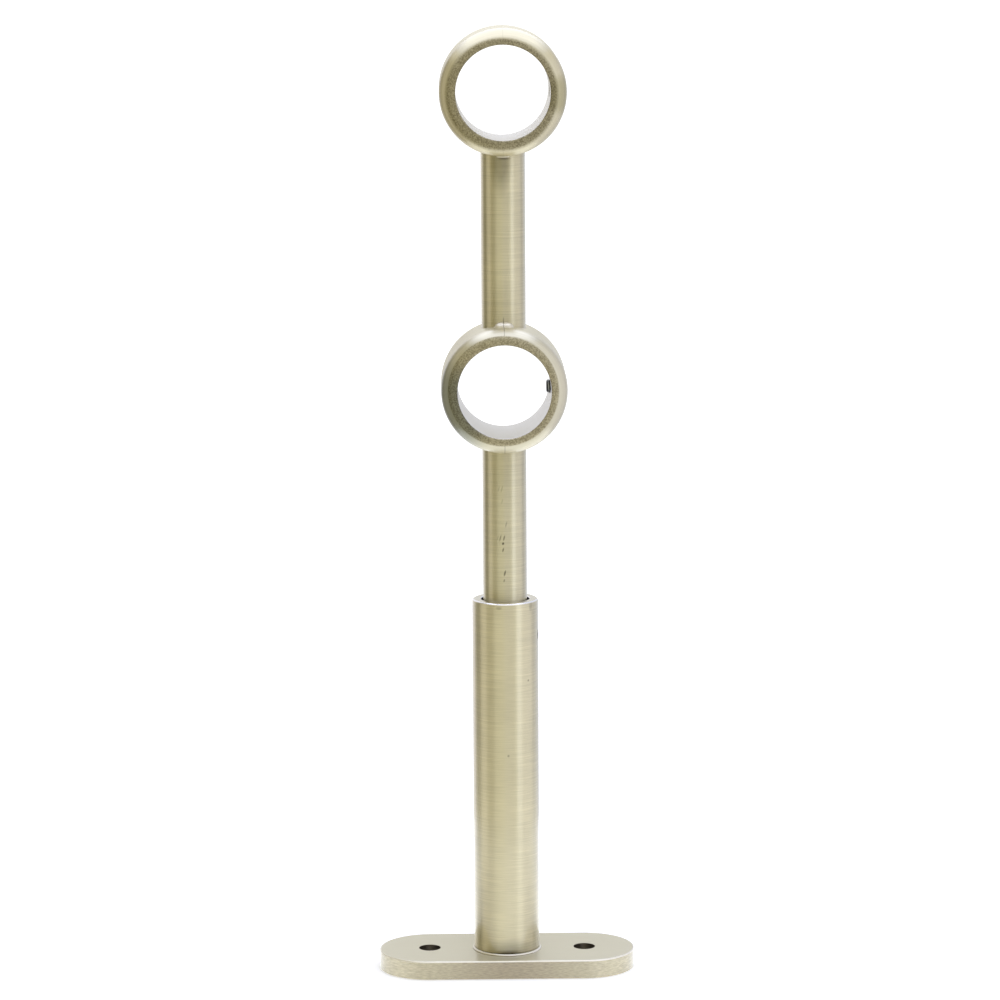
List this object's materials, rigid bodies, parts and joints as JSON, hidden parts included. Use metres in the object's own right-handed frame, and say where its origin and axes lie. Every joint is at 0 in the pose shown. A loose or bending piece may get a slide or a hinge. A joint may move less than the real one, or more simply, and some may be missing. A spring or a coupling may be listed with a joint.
{
  "type": "curtain pole bracket",
  "caption": "Curtain pole bracket: an oblong wall plate carries a tube, and a rod that slides out of it holds pole rings in line, with grub screws that clamp the poles and lock the rod.",
  "frame": {"origin": "centre of the plate's wall face", "axes": "+Z out from the wall along the rod, +X along the plate (down when it is on the wall), +Y along the poles"},
  "size_m": [0.056, 0.022, 0.2054],
  "materials": {
    "antique_brass": "steel, brushed round and plated in pale antique brass, lacquered",
    "black_steel": "hardened steel with a black oxide finish",
    "zinc_plated_steel": "bright zinc plate"
  },
  "bodies": {
    "wall_side": {"wall_plate": "antique_brass", "outer_tube": "antique_brass", "foot_plug": "zinc_plated_steel", "foot_screw": "zinc_plated_steel"},
    "rod_side": {"lower_rod": "antique_brass", "lower_ring": "antique_brass", "upper_rod": "antique_brass", "upper_ring": "antique_brass"},
    "lock_screw": {"tube_lock_screw": "black_steel"},
    "lower_screw": {"lower_ring_screw": "black_steel"},
    "upper_screw": {"upper_ring_screw": "black_steel"}
  },
  "joints": [
    {"name": "rod_slide", "type": "slide", "parent": "wall_side", "child": "rod_side", "axis": [0, 0, 1], "range_m": [-0.0324, 0.018]},
    {"name": "rod_lock", "type": "slide", "parent": "wall_side", "child": "lock_screw", "axis": [1, 0, 0], "range_m": [0, 0.0012]},
    {"name": "lower_clamp", "type": "slide", "parent": "rod_side", "child": "lower_screw", "axis": [1, 0, 0], "range_m": [-0.0009, 0.0014]},
    {"name": "upper_clamp", "type": "slide", "parent": "rod_side", "child": "upper_screw", "axis": [1, 0, 0], "range_m": [-0.0021, 0.0004]}
  ]
}
